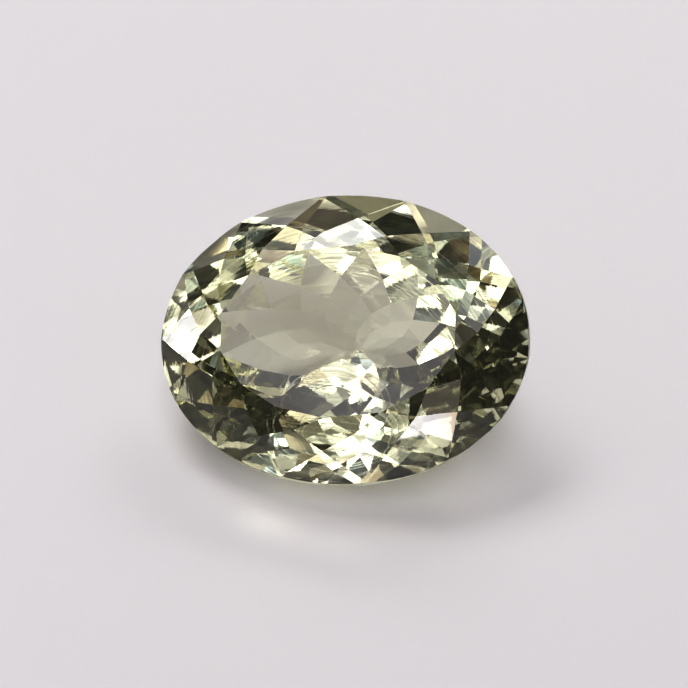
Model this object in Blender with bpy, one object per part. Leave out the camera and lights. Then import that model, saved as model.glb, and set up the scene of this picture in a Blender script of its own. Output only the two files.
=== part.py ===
"""A faceted oval sillimanite, resting on one facet of its underside."""
import math

import bmesh
import bpy
from mathutils import Matrix, Vector

# Driving dimensions in millimetres.
LENGTH = 9.00
WIDTH = 7.10
GIRDLE_THICKNESS = 0.43

# The stone is cut with fourteen facets to a row.
FOLD = 14
STEP = 2.0 * math.pi / FOLD

# The girdle outline is an oval with slightly full shoulders.
GIRDLE_FLATS = 112
SHOULDER_POWER = 2.05

# Crown rings, as shares of the girdle length and of the girdle width.
TABLE_RING = (0.652, 0.600)
STAR_RING = (0.750, 0.705)
KITE_RING = (0.853, 0.812)
STAR_SLOPE = math.radians(20.6)

# The crown rows run ahead of an even division along both long sides.
CROWN_DRIFT = math.radians(-5.5)

# Underside ring widths, as shares of the girdle width, from the keel outwards. Each ring
# stands half a step round from the last one, so every facet between them is a lozenge.
PAVILION_RINGS = (0.135, 0.258, 0.360, 0.488, 0.671)
KEEL_SHARE = 0.033
KEEL_SLOPE = math.radians(30.4)
PAVILION_TURN = math.radians(-6.3)

# The facets meet just inside the girdle wall.
RIM_SHARE = 0.993

# One lozenge of the third row, counted from the keel, is cut deeper than its
# neighbours. It is the broadest facet of the underside, and the stone lies on it.
REST_ROW = 2
REST_PLACE = 10
REST_OVERCUT = 0.08
FACING_TURN = math.radians(-1.4)

# The cutting block stands clear of every facet.
BLOCK_TOP = 4.0
BLOCK_BOTTOM = -6.0

# Meet points closer than this are one point.
SNAP = 0.0004
METRES = 0.001

BODY_COLOUR = (0.86, 0.88, 0.66, 1.0)
POLISH_ROUGHNESS = 0.02
REFRACTION = 1.66


def oval_point(turn, share=(1.0, 1.0)):
    """Point on an oval inside the girdle, at a turn from the long axis."""
    return Vector((math.cos(turn) * share[0] * LENGTH / 2.0, math.sin(turn) * share[1] * WIDTH / 2.0, 0.0))


def girdle_point(turn):
    """Point on the girdle outline, which is fuller than an oval at the shoulders."""
    along = math.cos(turn)
    across = math.sin(turn)
    power = 2.0 / SHOULDER_POWER
    x = math.copysign(abs(along) ** power, along) * LENGTH / 2.0
    y = math.copysign(abs(across) ** power, across) * WIDTH / 2.0
    return Vector((x, y, 0.0))


def crown_turn(steps):
    """Turn of a crown meet point that stands a number of steps from the long axis."""
    turn = steps * STEP
    return turn + CROWN_DRIFT * math.sin(turn) ** 2


def plane_through(first, second, third, inside):
    """Point and outward normal of the plane through three meet points."""
    normal = (second - first).cross(third - first).normalized()
    if normal.dot(inside - first) > 0.0:
        normal.negate()
    return first.copy(), normal


def raise_onto(point, plane):
    """The same point seen from above, moved up or down into the plane."""
    origin, normal = plane
    sideways = normal.x * (point.x - origin.x) + normal.y * (point.y - origin.y)
    return Vector((point.x, point.y, origin.z - sideways / normal.z))


def crown_planes():
    """Planes of the table, stars, kites, lozenges and girdle triangles, and the rim height."""
    inside = Vector((0.0, 0.0, -10.0))
    table = [oval_point(crown_turn(k + 0.5), TABLE_RING) for k in range(FOLD)]
    stars = []
    for k in range(FOLD):
        star = oval_point(crown_turn(k), STAR_RING)
        star.z = -math.tan(STAR_SLOPE) * (star - (table[k - 1] + table[k]) / 2.0).length
        stars.append(star)
    planes = [(table[0].copy(), Vector((0.0, 0.0, 1.0)))]
    for k in range(FOLD):
        planes.append(plane_through(table[k - 1], table[k], stars[k], inside))
    kites = []
    for k in range(FOLD):
        plane = plane_through(table[k], stars[k], stars[(k + 1) % FOLD], inside)
        planes.append(plane)
        kites.append(raise_onto(oval_point(crown_turn(k + 0.5), KITE_RING), plane))
    rims = []
    for k in range(FOLD):
        plane = plane_through(stars[k], kites[k - 1], kites[k], inside)
        planes.append(plane)
        rims.append(raise_onto(girdle_point(crown_turn(k)) * RIM_SHARE, plane))
    for k in range(FOLD):
        planes.append(plane_through(kites[k], rims[k], rims[(k + 1) % FOLD], inside))
    return planes, sum(rim.z for rim in rims) / FOLD


def pavilion_profile():
    """Length share, width share and height of every underside ring, the keel first.

    The corners of a lozenge lie on three neighbouring rings. It can only be flat if each
    ring goes on from the last two in one fixed proportion, for length, width and height.
    """
    widths = (0.0,) + PAVILION_RINGS + (RIM_SHARE,)
    middle = math.cos(STEP / 2.0)
    stretches = []
    for near, side, far in zip(widths, widths[1:], widths[2:]):
        stretches.append((far - near) / (side * middle - near))

    def carried_on(keel, first):
        lengths = [keel, first]
        for stretch in stretches:
            near, side = lengths[-2:]
            lengths.append(near + stretch * (side * middle - near))
        return lengths

    from_keel = carried_on(KEEL_SHARE, 0.0)[-1]
    from_first = carried_on(0.0, 1.0)[-1]
    lengths = carried_on(KEEL_SHARE, (RIM_SHARE - from_keel) / from_first)
    heights = [0.0, middle * widths[1] * math.tan(KEEL_SLOPE) * WIDTH / 2.0]
    for stretch in stretches:
        near, side = heights[-2:]
        heights.append(near + stretch * (side - near))
    return list(zip(lengths, widths, heights))


def pavilion_rows():
    """Planes of the underside, row by row from the keel outwards, and the rim height."""
    inside = Vector((0.0, 0.0, 10.0))
    rings = []
    for number, (length, width, height) in enumerate(pavilion_profile()):
        shift = 0.0 if number % 2 == 0 else 0.5
        ring = [oval_point(PAVILION_TURN + (k + shift) * STEP, (length, width)) for k in range(FOLD)]
        for corner in ring:
            corner.z = height
        rings.append(ring)
    rows = []
    for number in range(1, len(rings)):
        inner, sides = rings[number - 1], rings[number]
        row = []
        for k in range(FOLD):
            first = k - 1 if number % 2 == 1 else k
            row.append(plane_through(inner[k], sides[first], sides[(first + 1) % FOLD], inside))
        rows.append(row)
    return rows, rings[-1][0].z


def lifted(plane, height):
    origin, normal = plane
    return origin + Vector((0.0, 0.0, height)), normal


def sunk(plane, depth):
    origin, normal = plane
    return origin - normal * depth, normal


def cutting_block(solid):
    """Upright oval block that the facets are cut from."""
    turns = [2.0 * math.pi * k / GIRDLE_FLATS for k in range(GIRDLE_FLATS)]
    bottom = [solid.verts.new(girdle_point(turn) + Vector((0.0, 0.0, BLOCK_BOTTOM))) for turn in turns]
    base = solid.faces.new(bottom)
    raised = bmesh.ops.extrude_face_region(solid, geom=[base])["geom"]
    top = [item for item in raised if isinstance(item, bmesh.types.BMVert)]
    bmesh.ops.translate(solid, verts=top, vec=Vector((0.0, 0.0, BLOCK_TOP - BLOCK_BOTTOM)))
    bmesh.ops.recalc_face_normals(solid, faces=solid.faces[:])


def cut_facet(solid, plane):
    """Cut away what lies outside the plane and close the cut with one flat facet."""
    origin, normal = plane
    everything = solid.verts[:] + solid.edges[:] + solid.faces[:]
    bmesh.ops.bisect_plane(solid, geom=everything, dist=SNAP, plane_co=origin, plane_no=normal,
                           clear_outer=True)
    open_edges = [edge for edge in solid.edges if edge.is_boundary]
    if open_edges:
        bmesh.ops.edgeloop_fill(solid, edges=open_edges)


def resting_pose(solid, rest_plane):
    """Turn the stone so that it lies on the chosen facet, centred over the origin."""
    lay_down = rest_plane[1].rotation_difference(Vector((0.0, 0.0, -1.0))).to_matrix()
    facing = Matrix.Rotation(FACING_TURN, 3, "Z")
    bmesh.ops.rotate(solid, cent=Vector((0.0, 0.0, 0.0)), matrix=facing @ lay_down, verts=solid.verts[:])
    low = Vector([min(vert.co[axis] for vert in solid.verts) for axis in range(3)])
    high = Vector([max(vert.co[axis] for vert in solid.verts) for axis in range(3)])
    middle = (low + high) / 2.0
    bmesh.ops.translate(solid, verts=solid.verts[:], vec=Vector((-middle.x, -middle.y, -low.z)))


def stone_material():
    material = bpy.data.materials.new("pale_sillimanite")
    material.use_nodes = True
    shader = material.node_tree.nodes["Principled BSDF"]
    shader.inputs["Base Color"].default_value = BODY_COLOUR
    shader.inputs["Roughness"].default_value = POLISH_ROUGHNESS
    shader.inputs["Metallic"].default_value = 0.0
    shader.inputs["IOR"].default_value = REFRACTION
    shader.inputs["Transmission Weight"].default_value = 1.0
    return material


def build_stone():
    underside, underside_rim = pavilion_rows()
    underside[REST_ROW][REST_PLACE] = sunk(underside[REST_ROW][REST_PLACE], REST_OVERCUT)
    crown, crown_rim = crown_planes()
    solid = bmesh.new()
    cutting_block(solid)
    rest_plane = lifted(underside[REST_ROW][REST_PLACE], -underside_rim)
    for row in underside:
        for plane in row:
            cut_facet(solid, lifted(plane, -underside_rim))
    for plane in crown:
        cut_facet(solid, lifted(plane, GIRDLE_THICKNESS - crown_rim))
    bmesh.ops.remove_doubles(solid, verts=solid.verts[:], dist=SNAP)
    resting_pose(solid, rest_plane)
    bmesh.ops.scale(solid, vec=Vector((METRES, METRES, METRES)), verts=solid.verts[:])
    bmesh.ops.recalc_face_normals(solid, faces=solid.faces[:])
    mesh = bpy.data.meshes.new("stone")
    solid.to_mesh(mesh)
    solid.free()
    mesh.materials.append(stone_material())
    stone = bpy.data.objects.new("stone", mesh)
    bpy.context.scene.collection.objects.link(stone)


for old in list(bpy.data.objects):
    bpy.data.objects.remove(old)

build_stone()
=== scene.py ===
import math
import random

import bmesh
import bpy
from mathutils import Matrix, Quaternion, Vector


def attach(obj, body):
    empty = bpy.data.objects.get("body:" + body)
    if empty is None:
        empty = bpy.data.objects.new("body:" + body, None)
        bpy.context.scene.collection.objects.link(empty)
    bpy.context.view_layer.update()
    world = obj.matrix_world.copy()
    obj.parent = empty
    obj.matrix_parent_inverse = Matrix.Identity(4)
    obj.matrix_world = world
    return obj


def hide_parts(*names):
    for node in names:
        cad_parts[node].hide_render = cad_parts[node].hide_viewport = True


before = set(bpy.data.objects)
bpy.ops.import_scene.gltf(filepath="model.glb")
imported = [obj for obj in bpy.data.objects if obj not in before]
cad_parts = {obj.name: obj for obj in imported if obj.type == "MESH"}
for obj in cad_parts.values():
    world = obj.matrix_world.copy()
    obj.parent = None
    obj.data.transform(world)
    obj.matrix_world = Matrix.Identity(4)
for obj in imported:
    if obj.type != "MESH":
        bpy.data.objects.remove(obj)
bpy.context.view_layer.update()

scene = bpy.context.scene
white = (1.0, 1.0, 1.0, 1.0)


# helpers for every piece

def linkObject(thing):
    scene.collection.objects.link(thing)
    return thing


# azimuth 0 is the camera's side of the stone, and 90 is the right of the picture
def directionTo(azimuth, elevation):
    a = math.radians(azimuth)
    e = math.radians(elevation)
    return Vector((math.sin(a) * math.cos(e), -math.cos(a) * math.cos(e), math.sin(e)))


def addNode(tree, kind, x, y, **fields):
    node = tree.nodes.new(kind)
    node.location = (x, y)
    for field, value in fields.items():
        setattr(node, field, value)
    return node


def setInputs(node, values):
    for name, value in values.items():
        node.inputs[name].default_value = value


# a smooth step between the two values of span
def addFade(tree, x, y, span):
    fade = addNode(tree, "ShaderNodeMapRange", x, y, interpolation_type="SMOOTHSTEP")
    setInputs(fade, {"From Min": span[0], "From Max": span[1]})
    return fade


# a colour gets a colour socket, and a number gets a value socket
def startGroup(name, inputs, outputs):
    group = bpy.data.node_groups.new(name, "ShaderNodeTree")
    for direction, sockets in (("INPUT", inputs), ("OUTPUT", outputs)):
        for socketName, value in sockets.items():
            kind = "NodeSocketColor" if isinstance(value, tuple) else "NodeSocketFloat"
            socket = group.interface.new_socket(name=socketName, in_out=direction, socket_type=kind)
            socket.default_value = value
    start = addNode(group, "NodeGroupInput", -1200, 0)
    end = addNode(group, "NodeGroupOutput", 600, 0)
    return group, start, end


# camera: it stands in front and looks down on the tilted table

cameraSettings = {
    "elevation": 44.91,
    "roll": 3.05,
    "distance": 0.5,
    "aim": (-0.000030, -0.000049, 0.002578),
    "frameWidth": 0.01666,   # metres of the scene across the picture
    "sensor": 36.0,
    "clip": (0.01, 5.0),
}


def makeCamera():
    s = cameraSettings
    data = bpy.data.cameras.new("photoCamera")
    data.sensor_width = s["sensor"]
    data.lens = s["sensor"] * s["distance"] / s["frameWidth"]
    data.clip_start, data.clip_end = s["clip"]
    camera = linkObject(bpy.data.objects.new("photoCamera", data))
    back = directionTo(0.0, s["elevation"])
    camera.location = Vector(s["aim"]) + back * s["distance"]
    level = (-back).to_track_quat("-Z", "Y")
    camera.rotation_euler = (level @ Quaternion((0.0, 0.0, 1.0), math.radians(s["roll"]))).to_euler()
    scene.camera = camera


# lamps: soft boxes that face the stone, broken up by dark gaps so that the facets sparkle

boxShared = {
    "distance": 0.24,
    "colour": (1.0, 0.985, 0.965, 1.0),
    "gapSpan": (0.44, 0.68),           # noise below the first value is a gap, above the second it is lit
    "gapDetail": 1.0,
    "cool": (0.62, 0.83, 1.0, 1.0),    # one side of each box leans cool and the other warm,
    "warm": (1.0, 0.80, 0.52, 1.0),    # so the flashes get faint colour fringes
    "coolPlace": 0.08,
    "whitePlaces": (0.3, 0.7),
    "warmPlace": 0.92,
}

# brightness does not depend on the size of the box, edge is the share of it that fades out,
# gaps is how dark its gaps are, and gapScale how many of them go across it
lampSettings = {
    "keyBackLeft": {"azimuth": -142, "elevation": 58, "width": 0.178, "height": 0.126,
                    "brightness": 9.99, "edge": 0.75, "gaps": 0.25, "gapScale": 4.0},
    "topBox": {"azimuth": 126, "elevation": 85, "width": 0.109, "height": 0.081,
               "brightness": 2.21, "edge": 0.83, "gaps": 0.30, "gapScale": 4.0},
    "backWide": {"azimuth": 170, "elevation": 35, "width": 0.310, "height": 0.081,
                 "brightness": 2.82, "edge": 0.75, "gaps": 0.60, "gapScale": 6.0},
    "backRightLow": {"azimuth": 162, "elevation": 5, "width": 0.144, "height": 0.102,
                     "brightness": 3.97, "edge": 0.72, "gaps": 0.40, "gapScale": 5.0},
    "backRightSmall": {"azimuth": 155, "elevation": 40, "width": 0.087, "height": 0.052,
                       "brightness": 8.83, "edge": 0.74, "gaps": 0.30, "gapScale": 4.0},
    "leftSide": {"azimuth": -78, "elevation": 27, "width": 0.116, "height": 0.105,
                 "brightness": 1.52, "edge": 0.81, "gaps": 0.70, "gapScale": 5.0},
    "backLow": {"azimuth": -161, "elevation": 4, "width": 0.132, "height": 0.048,
                "brightness": 7.27, "edge": 0.62, "gaps": 0.30, "gapScale": 4.0},
    "leftHigh": {"azimuth": -100, "elevation": 47, "width": 0.128, "height": 0.141,
                 "brightness": 1.74, "edge": 0.67, "gaps": 0.70, "gapScale": 6.0},
    "frontTop": {"azimuth": -21, "elevation": 76, "width": 0.276, "height": 0.094,
                 "brightness": 2.81, "edge": 0.71, "gaps": 0.85, "gapScale": 7.0},
    "frontWide": {"azimuth": 8, "elevation": 59, "width": 0.271, "height": 0.114,
                  "brightness": 1.69, "edge": 0.75, "gaps": 0.90, "gapScale": 7.0},
    "frontLeft": {"azimuth": -55, "elevation": 44, "width": 0.129, "height": 0.098,
                  "brightness": 1.36, "edge": 0.64, "gaps": 0.90, "gapScale": 5.0},
    "rightSide": {"azimuth": 77, "elevation": 46, "width": 0.079, "height": 0.134,
                  "brightness": 3.40, "edge": 0.69, "gaps": 0.90, "gapScale": 5.0},
    "frontLow": {"azimuth": 14, "elevation": 18, "width": 0.149, "height": 0.045,
                 "brightness": 2.53, "edge": 0.75, "gaps": 0.50, "gapScale": 4.0},
    "rightBackTall": {"azimuth": 142, "elevation": 42, "width": 0.067, "height": 0.118,
                      "brightness": 4.59, "edge": 0.62, "gaps": 0.50, "gapScale": 5.0},
    "tableVeil": {"azimuth": -38, "elevation": 60, "width": 0.111, "height": 0.085,
                  "brightness": 1.14, "edge": 0.50, "gaps": 0.00, "gapScale": 4.0,
                  "colour": (1.0, 0.93, 1.02, 1.0)},
    "leftLow": {"azimuth": -101, "elevation": 5, "width": 0.067, "height": 0.042,
                "brightness": 9.52, "edge": 0.40, "gaps": 0.20, "gapScale": 4.0},
}

# a small card near the stone, seen only as a glint on the polished crown
glintCard = {
    "place": (0.0058, -0.0118, 0.0013),
    "width": 0.0060,
    "height": 0.0022,
    "brightness": 7.6,
    "edge": 0.1,
    "gaps": 0.0,
    "gapScale": 5.0,
    "colour": (1.0, 0.96, 1.0, 1.0),
}


def makeSoftBoxGlow():
    s = boxShared
    group, start, end = startGroup(
        "softBoxGlow", {"Edge": 0.5, "Gaps": 0.0, "Gap Scale": 5.0, "Colour": white},
        {"Mask": 0.0, "Colour": white})
    links = group.links

    # the box fades out towards all four sides
    place = addNode(group, "ShaderNodeNewGeometry", -1200, 200)
    centred = addNode(group, "ShaderNodeVectorMath", -1000, 200, operation="SUBTRACT")
    centred.inputs[1].default_value = (0.5, 0.5, 0.0)
    doubled = addNode(group, "ShaderNodeVectorMath", -800, 200, operation="SCALE")
    doubled.inputs["Scale"].default_value = 2.0
    sides = addNode(group, "ShaderNodeSeparateXYZ", -600, 200)
    inner = addNode(group, "ShaderNodeMath", -800, -100, operation="SUBTRACT")
    inner.inputs[0].default_value = 1.0
    links.new(place.outputs["Parametric"], centred.inputs[0])
    links.new(centred.outputs["Vector"], doubled.inputs[0])
    links.new(doubled.outputs["Vector"], sides.inputs["Vector"])
    links.new(start.outputs["Edge"], inner.inputs[1])
    mask = addNode(group, "ShaderNodeMath", 50, 200, operation="MULTIPLY")
    for number, axis in enumerate("XY"):
        y = 300 - 250 * number
        away = addNode(group, "ShaderNodeMath", -400, y, operation="ABSOLUTE")
        fade = addFade(group, -200, y, (0.0, 1.0))
        setInputs(fade, {"To Min": 1.0, "To Max": 0.0})
        links.new(sides.outputs[axis], away.inputs[0])
        links.new(away.outputs["Value"], fade.inputs["Value"])
        links.new(inner.outputs["Value"], fade.inputs["From Min"])
        links.new(fade.outputs["Result"], mask.inputs[number])

    # dark gaps break the light up
    blots = addNode(group, "ShaderNodeTexNoise", -400, 600)
    blots.inputs["Detail"].default_value = s["gapDetail"]
    lit = addFade(group, -200, 600, s["gapSpan"])
    holes = addNode(group, "ShaderNodeMix", 50, 500, data_type="FLOAT")
    holes.inputs["A"].default_value = 1.0
    broken = addNode(group, "ShaderNodeMath", 250, 300, operation="MULTIPLY")
    links.new(place.outputs["Parametric"], blots.inputs["Vector"])
    links.new(start.outputs["Gap Scale"], blots.inputs["Scale"])
    links.new(blots.outputs["Fac"], lit.inputs["Value"])
    links.new(start.outputs["Gaps"], holes.inputs["Factor"])
    links.new(lit.outputs["Result"], holes.inputs["B"])
    links.new(mask.outputs["Value"], broken.inputs[0])
    links.new(holes.outputs["Result"], broken.inputs[1])
    links.new(broken.outputs["Value"], end.inputs["Mask"])

    # cool to warm across the box
    across = addNode(group, "ShaderNodeMapRange", -500, -250)
    across.inputs["From Min"].default_value = -1.0
    fringe = addNode(group, "ShaderNodeValToRGB", -300, -250)
    coolEnd, warmEnd = fringe.color_ramp.elements
    coolEnd.position = s["coolPlace"]
    coolEnd.color = s["cool"]
    warmEnd.position = s["warmPlace"]
    warmEnd.color = s["warm"]
    for position in s["whitePlaces"]:
        fringe.color_ramp.elements.new(position).color = white
    mixed = addNode(group, "ShaderNodeMix", 50, -150, data_type="RGBA", blend_type="MULTIPLY")
    mixed.inputs["Factor"].default_value = 1.0
    links.new(sides.outputs["X"], across.inputs["Value"])
    links.new(across.outputs["Result"], fringe.inputs["Fac"])
    links.new(fringe.outputs["Color"], mixed.inputs["A"])
    links.new(start.outputs["Colour"], mixed.inputs["B"])
    links.new(mixed.outputs["Result"], end.inputs["Colour"])
    return group


def makeLamp(name, settings, softBoxGlow):
    s = {**boxShared, **settings}
    data = bpy.data.lights.new(name, "AREA")
    data.shape = "RECTANGLE"
    data.size = s["width"]
    data.size_y = s["height"]
    data.energy = s["brightness"] * math.pi * s["width"] * s["height"]
    data.use_nodes = True
    tree = data.node_tree
    tree.nodes.clear()
    glow = addNode(tree, "ShaderNodeGroup", -400, 0, node_tree=softBoxGlow)
    setInputs(glow, {"Edge": s["edge"], "Gaps": s["gaps"], "Gap Scale": s["gapScale"],
                     "Colour": s["colour"]})
    shine = addNode(tree, "ShaderNodeEmission", -100, 0)
    out = addNode(tree, "ShaderNodeOutputLight", 100, 0)
    tree.links.new(glow.outputs["Mask"], shine.inputs["Strength"])
    tree.links.new(glow.outputs["Colour"], shine.inputs["Color"])
    tree.links.new(shine.outputs["Emission"], out.inputs["Surface"])
    lamp = linkObject(bpy.data.objects.new(name, data))
    towards = directionTo(s["azimuth"], s["elevation"])
    lamp.location = towards * s["distance"]
    lamp.rotation_euler = (-towards).to_track_quat("-Z", "Y").to_euler()
    lamp.visible_camera = False
    return lamp


def makeGlintCard(softBoxGlow, stone):
    place = Vector(glintCard["place"])
    azimuth = math.degrees(math.atan2(place.x, -place.y))
    elevation = math.degrees(math.atan2(place.z, place.xy.length))
    aimed = {**glintCard, "azimuth": azimuth, "elevation": elevation, "distance": place.length}
    card = makeLamp("glintCard", aimed, softBoxGlow)
    card.visible_diffuse = False
    card.visible_transmission = False
    card.visible_volume_scatter = False
    onlyStone = bpy.data.collections.new("glintOnStone")
    onlyStone.objects.link(stone)
    card.light_linking.receiver_collection = onlyStone


# room: what the facets mirror between the lamps

roomSettings = {"colour": (0.022, 0.022, 0.023, 1.0), "strength": 1.0}


def makeRoom():
    room = bpy.data.worlds.new("dimRoom")
    room.use_nodes = True
    background = room.node_tree.nodes["Background"]
    setInputs(background, {"Color": roomSettings["colour"], "Strength": roomSettings["strength"]})
    scene.world = room


# floor: pale paper with a painted shadow, darker in a soft oval right under the stone

floorSettings = {
    "size": 0.6,
    "gap": 0.00002,         # keeps the floor just clear of the resting facet
    "colour": (0.52, 0.503, 0.524, 1.0),
    "glow": (0.150, 0.1445, 0.152, 1.0),    # light that comes up through the paper
    "glowStrength": 1.0,
    "roughness": 0.32,
    "shade": (0.295, 0.279, 0.247, 1.0),    # colour and glow of the painted shadow on the paper right under the stone
    "shadeGlow": (0.045, 0.042, 0.037, 1.0),
    "shadeCentre": (0.0, 0.0006, 0.0),
    "shadeReach": (0.0043, 0.0033, 1.0),    # half length and half width of the oval
    "shadeSpan": (0.62, 1.12),              # the shade fades out between these shares of its reach
    "grainScale": 900.0,
    "grainDetail": 3.0,
    "grainBump": 0.00001,
    "grainStrength": 0.5,
}


def makePaper():
    s = floorSettings
    material = bpy.data.materials.new("paleGlossPaper")
    material.use_nodes = True
    tree = material.node_tree
    links = tree.links
    paper = tree.nodes["Principled BSDF"]
    setInputs(paper, {"Roughness": s["roughness"], "Emission Strength": s["glowStrength"]})

    # painted shadow: the paper's colour and glow darken in a soft oval under the stone
    place = addNode(tree, "ShaderNodeTexCoord", -1300, -100)
    away = addNode(tree, "ShaderNodeVectorMath", -1100, 200, operation="SUBTRACT")
    away.inputs[1].default_value = s["shadeCentre"]
    oval = addNode(tree, "ShaderNodeVectorMath", -900, 200, operation="DIVIDE")
    oval.inputs[1].default_value = s["shadeReach"]
    reach = addNode(tree, "ShaderNodeVectorMath", -700, 200, operation="LENGTH")
    fade = addFade(tree, -500, 200, s["shadeSpan"])
    links.new(place.outputs["Object"], away.inputs[0])
    links.new(away.outputs["Vector"], oval.inputs[0])
    links.new(oval.outputs["Vector"], reach.inputs[0])
    links.new(reach.outputs["Value"], fade.inputs["Value"])
    for socket, dark, light, y in (("Base Color", "shade", "colour", 200),
                                   ("Emission Color", "shadeGlow", "glow", 450)):
        toned = addNode(tree, "ShaderNodeMix", -250, y, data_type="RGBA")
        setInputs(toned, {"A": s[dark], "B": s[light]})
        links.new(fade.outputs["Result"], toned.inputs["Factor"])
        links.new(toned.outputs["Result"], paper.inputs[socket])

    grain = addNode(tree, "ShaderNodeTexNoise", -600, -200)
    setInputs(grain, {"Scale": s["grainScale"], "Detail": s["grainDetail"]})
    bump = addNode(tree, "ShaderNodeBump", -300, -200)
    setInputs(bump, {"Strength": s["grainStrength"], "Distance": s["grainBump"]})
    links.new(place.outputs["Object"], grain.inputs["Vector"])
    links.new(grain.outputs["Fac"], bump.inputs["Height"])
    links.new(bump.outputs["Normal"], paper.inputs["Normal"])
    return material


def makeFloor():
    mesh = bpy.data.meshes.new("paleFloor")
    sheet = bmesh.new()
    bmesh.ops.create_grid(sheet, x_segments=1, y_segments=1, size=floorSettings["size"])
    bmesh.ops.translate(sheet, verts=sheet.verts[:], vec=(0.0, 0.0, -floorSettings["gap"]))
    sheet.to_mesh(mesh)
    sheet.free()
    mesh.materials.append(makePaper())
    linkObject(bpy.data.objects.new("paleFloor", mesh))


# polish: every facet keeps the arcs of the lap that cut it, and dust settles on the stone

polishPattern = {
    "detail": 2.0,
    "broadShare": 0.6,             # how much of the height is in the broad arcs
    "scratchSpan": (0.60, 0.80),   # fine noise above this is a scratch
    "speckSpan": (0.03, 0.06),     # radius of a dust speck and its soft rim, in cells
}


def makePolishArcs():
    s = polishPattern
    group, start, end = startGroup(
        "polishArcs", {"Fine Scale": 11000.0, "Broad Scale": 3800.0, "Wave Scale": 750.0,
                       "Wave Height": 12.0},
        {"Height": 0.0, "Scratch": 0.0})
    links = group.links

    # the arcs are rings around a point beside the facet
    place = addNode(group, "ShaderNodeTexCoord", -1200, 300)
    centre = addNode(group, "ShaderNodeAttribute", -1200, -300, attribute_name="lapCentre")
    radius = addNode(group, "ShaderNodeVectorMath", -950, 200, operation="DISTANCE")
    blend = addNode(group, "ShaderNodeMix", -150, 100, data_type="FLOAT")
    blend.inputs["Factor"].default_value = s["broadShare"]
    scratch = addFade(group, -150, -200, s["scratchSpan"])
    links.new(place.outputs["Object"], radius.inputs[0])
    links.new(centre.outputs["Vector"], radius.inputs[1])
    for scale, target, y in (("Fine Scale", "A", 200), ("Broad Scale", "B", -100)):
        spread = addNode(group, "ShaderNodeMath", -700, y, operation="MULTIPLY")
        noise = addNode(group, "ShaderNodeTexNoise", -450, y, noise_dimensions="1D")
        setInputs(noise, {"Scale": 1.0, "Detail": s["detail"]})
        links.new(radius.outputs["Value"], spread.inputs[0])
        links.new(start.outputs[scale], spread.inputs[1])
        links.new(spread.outputs["Value"], noise.inputs["W"])
        links.new(noise.outputs["Fac"], blend.inputs[target])
        if scale == "Fine Scale":
            links.new(noise.outputs["Fac"], scratch.inputs["Value"])

    # the lap also leaves each facet very slightly domed and dished
    wave = addNode(group, "ShaderNodeTexNoise", -450, 450)
    wave.inputs["Detail"].default_value = 0.0
    waved = addNode(group, "ShaderNodeMath", 100, 200, operation="MULTIPLY_ADD")
    links.new(place.outputs["Object"], wave.inputs["Vector"])
    links.new(start.outputs["Wave Scale"], wave.inputs["Scale"])
    links.new(wave.outputs["Fac"], waved.inputs[0])
    links.new(start.outputs["Wave Height"], waved.inputs[1])
    links.new(blend.outputs["Result"], waved.inputs[2])
    links.new(waved.outputs["Value"], end.inputs["Height"])
    links.new(scratch.outputs["Result"], end.inputs["Scratch"])
    return group


def makeDustSpecks():
    group, start, end = startGroup("dustSpecks", {"Scale": 2200.0, "Share": 0.05}, {"Mask": 0.0})
    links = group.links
    place = addNode(group, "ShaderNodeTexCoord", -900, 200)
    cells = addNode(group, "ShaderNodeTexVoronoi", -650, 100, feature="F1")
    spot = addFade(group, -400, 100, polishPattern["speckSpan"])
    setInputs(spot, {"To Min": 1.0, "To Max": 0.0})
    luck = addNode(group, "ShaderNodeSeparateColor", -550, -150)
    chosen = addNode(group, "ShaderNodeMath", -400, -150, operation="LESS_THAN")
    both = addNode(group, "ShaderNodeMath", -150, 0, operation="MULTIPLY")
    links.new(place.outputs["Object"], cells.inputs["Vector"])
    links.new(start.outputs["Scale"], cells.inputs["Scale"])
    links.new(cells.outputs["Distance"], spot.inputs["Value"])
    links.new(cells.outputs["Color"], luck.inputs["Color"])
    links.new(luck.outputs["Red"], chosen.inputs[0])
    links.new(start.outputs["Share"], chosen.inputs[1])
    links.new(spot.outputs["Result"], both.inputs[0])
    links.new(chosen.outputs["Value"], both.inputs[1])
    links.new(both.outputs["Value"], end.inputs["Mask"])
    return group


# crystal

crystalFinish = {
    "refraction": 1.66,
    "tint": (0.995, 0.998, 0.985, 1.0),
    "paleTint": (0.965, 0.975, 0.90, 1.0),
    "tintScale": 260.0,
    "tintDetail": 2.0,
    "absorption": (0.84, 0.847, 0.20, 1.0),
    "density": 46.0,
    "roughness": 0.006,
    "arcRoughness": 0.20,
    "girdleRoughness": 0.38,     # of the dust specks too
    "arcFineScale": 11000.0,
    "arcBroadScale": 3800.0,
    "arcHeight": 0.0000008,
    "waveScale": 750.0,
    "waveHeight": 12.0,          # in arc heights
    "dustScale": 2200.0,
    "dustShare": 0.05,
}


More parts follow.
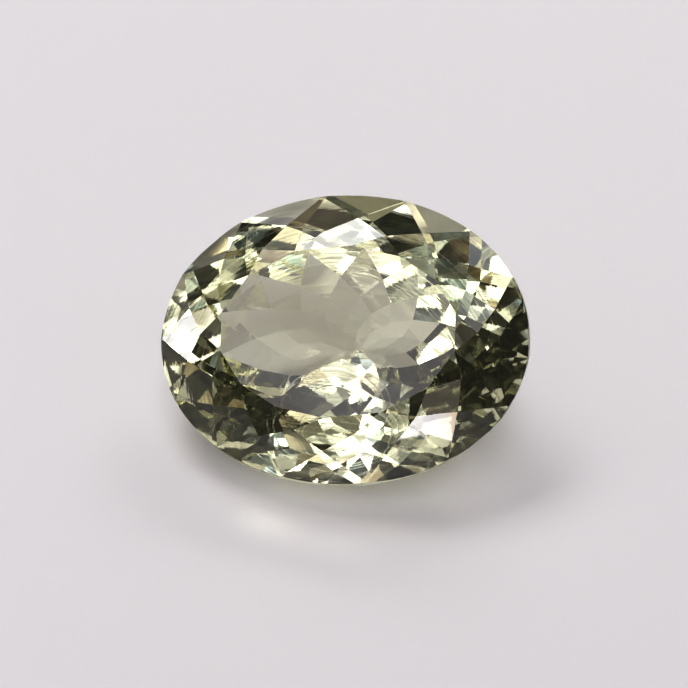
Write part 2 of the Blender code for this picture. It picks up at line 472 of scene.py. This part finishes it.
def makeCrystal(polishArcs, dustSpecks):
    s = crystalFinish
    material = bpy.data.materials.new("polishedSillimanite")
    material.use_nodes = True
    tree = material.node_tree
    links = tree.links
    crystal = tree.nodes["Principled BSDF"]
    setInputs(crystal, {"IOR": s["refraction"], "Transmission Weight": 1.0, "Metallic": 0.0})

    # faint zones of colour
    place = addNode(tree, "ShaderNodeTexCoord", -1300, 500)
    zones = addNode(tree, "ShaderNodeTexNoise", -1050, 500)
    setInputs(zones, {"Scale": s["tintScale"], "Detail": s["tintDetail"]})
    tint = addNode(tree, "ShaderNodeMix", -700, 500, data_type="RGBA")
    setInputs(tint, {"A": s["tint"], "B": s["paleTint"]})
    links.new(place.outputs["Object"], zones.inputs["Vector"])
    links.new(zones.outputs["Fac"], tint.inputs["Factor"])
    links.new(tint.outputs["Result"], crystal.inputs["Base Color"])

    # polish lines
    arcs = addNode(tree, "ShaderNodeGroup", -1050, 0, node_tree=polishArcs)
    setInputs(arcs, {"Fine Scale": s["arcFineScale"], "Broad Scale": s["arcBroadScale"],
                     "Wave Scale": s["waveScale"], "Wave Height": s["waveHeight"]})
    bump = addNode(tree, "ShaderNodeBump", -500, -200)
    setInputs(bump, {"Strength": 1.0, "Distance": s["arcHeight"]})
    links.new(arcs.outputs["Height"], bump.inputs["Height"])
    links.new(bump.outputs["Normal"], crystal.inputs["Normal"])

    # clear polish, rougher in the scratches and roughest on the girdle and the specks
    lapRoughness = addNode(tree, "ShaderNodeMapRange", -750, 100)
    setInputs(lapRoughness, {"To Min": s["roughness"], "To Max": s["arcRoughness"]})
    girdle = addNode(tree, "ShaderNodeAttribute", -950, -450, attribute_name="girdle")
    dust = addNode(tree, "ShaderNodeGroup", -950, -250, node_tree=dustSpecks)
    setInputs(dust, {"Scale": s["dustScale"], "Share": s["dustShare"]})
    frosted = addNode(tree, "ShaderNodeMath", -700, -350, operation="MAXIMUM")
    roughness = addNode(tree, "ShaderNodeMix", -450, 100, data_type="FLOAT")
    roughness.inputs["B"].default_value = s["girdleRoughness"]
    links.new(arcs.outputs["Scratch"], lapRoughness.inputs["Value"])
    links.new(girdle.outputs["Fac"], frosted.inputs[0])
    links.new(dust.outputs["Mask"], frosted.inputs[1])
    links.new(frosted.outputs["Value"], roughness.inputs["Factor"])
    links.new(lapRoughness.outputs["Result"], roughness.inputs["A"])
    links.new(roughness.outputs["Result"], crystal.inputs["Roughness"])

    # the yellow-green of the body deepens with the way that light goes through it
    body = addNode(tree, "ShaderNodeVolumeAbsorption", 0, -300)
    setInputs(body, {"Color": s["absorption"], "Density": s["density"]})
    links.new(body.outputs["Volume"], tree.nodes["Material Output"].inputs["Volume"])
    return material


# stone

stoneSettings = {
    "weldDistance": 0.000001,
    "flatAngle": 0.02,           # facets closer than this many degrees are one facet
    "edgeWear": 0.000007,        # width of the worn bevel along each facet edge, metres
    "girdleTilt": 0.06,          # facets this upright against the table belong to the girdle
    "lapReach": (0.004, 0.016),  # radius of the polishing arcs, metres
    "seed": 7,
}


def wearEdges(solid):
    edges = [edge for edge in solid.edges if len(edge.link_faces) == 2]
    bmesh.ops.bevel(solid, geom=edges, offset=stoneSettings["edgeWear"], offset_type="OFFSET",
                    segments=1, profile=0.5, affect="EDGES", clamp_overlap=True)


# each facet gets the centre of its arcs, and the girdle's flats get their mark
def markFacets(mesh):
    random.seed(stoneSettings["seed"])
    tableAxis = max(mesh.polygons, key=lambda facet: facet.area).normal.copy()
    centres = mesh.attributes.new("lapCentre", "FLOAT_VECTOR", "FACE")
    girdle = mesh.attributes.new("girdle", "FLOAT", "FACE")
    near, far = stoneSettings["lapReach"]
    for facet in mesh.polygons:
        side = facet.normal.orthogonal().normalized()
        turn = random.uniform(0.0, 2.0 * math.pi)
        reach = random.uniform(near, far)
        spoke = math.cos(turn) * side + math.sin(turn) * facet.normal.cross(side)
        centres.data[facet.index].vector = facet.center + spoke * reach
        upright = abs(facet.normal.dot(tableAxis)) < stoneSettings["girdleTilt"]
        girdle.data[facet.index].value = 1.0 if upright else 0.0


def makeStone(crystal):
    solid = bmesh.new()
    solid.from_mesh(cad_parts["stone"].data)
    bmesh.ops.remove_doubles(solid, verts=solid.verts[:], dist=stoneSettings["weldDistance"])
    bmesh.ops.dissolve_limit(solid, angle_limit=math.radians(stoneSettings["flatAngle"]),
                             verts=solid.verts[:], edges=solid.edges[:])
    wearEdges(solid)
    bmesh.ops.recalc_face_normals(solid, faces=solid.faces[:])
    mesh = bpy.data.meshes.new("cutStone")
    solid.to_mesh(mesh)
    solid.free()
    mesh.materials.append(crystal)
    markFacets(mesh)
    piece = linkObject(bpy.data.objects.new("cutStone", mesh))
    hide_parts("stone")
    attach(piece, "root")
    print("stone has", len(mesh.polygons), "faces")
    return piece


# light paths and tones

lightSettings = {
    "stoneBounces": 28,      # light crosses the stone many times before it leaves
    "glossyBounces": 10,
    "diffuseBounces": 4,
    "blurGlossy": 0.3,
    "indirectLimit": 1.7,    # keeps lone bright samples out of the dark facets
    "look": "High Contrast",
}


def setLightPaths():
    s = lightSettings
    scene.cycles.max_bounces = s["stoneBounces"]
    scene.cycles.transmission_bounces = s["stoneBounces"]
    scene.cycles.glossy_bounces = s["glossyBounces"]
    scene.cycles.diffuse_bounces = s["diffuseBounces"]
    scene.cycles.caustics_reflective = True
    scene.cycles.caustics_refractive = True
    scene.cycles.blur_glossy = s["blurGlossy"]
    scene.cycles.sample_clamp_indirect = s["indirectLimit"]
    scene.view_settings.view_transform = "Standard"
    scene.view_settings.look = s["look"]


makeCamera()
print("camera placed")
softBoxGlow = makeSoftBoxGlow()
for lampName, lampValues in lampSettings.items():
    makeLamp(lampName, lampValues, softBoxGlow)
makeRoom()
makeFloor()
print("lamps, room and floor placed")
cutStone = makeStone(makeCrystal(makePolishArcs(), makeDustSpecks()))
makeGlintCard(softBoxGlow, cutStone)
print("glint card placed")
setLightPaths()
print("light paths and tones set")
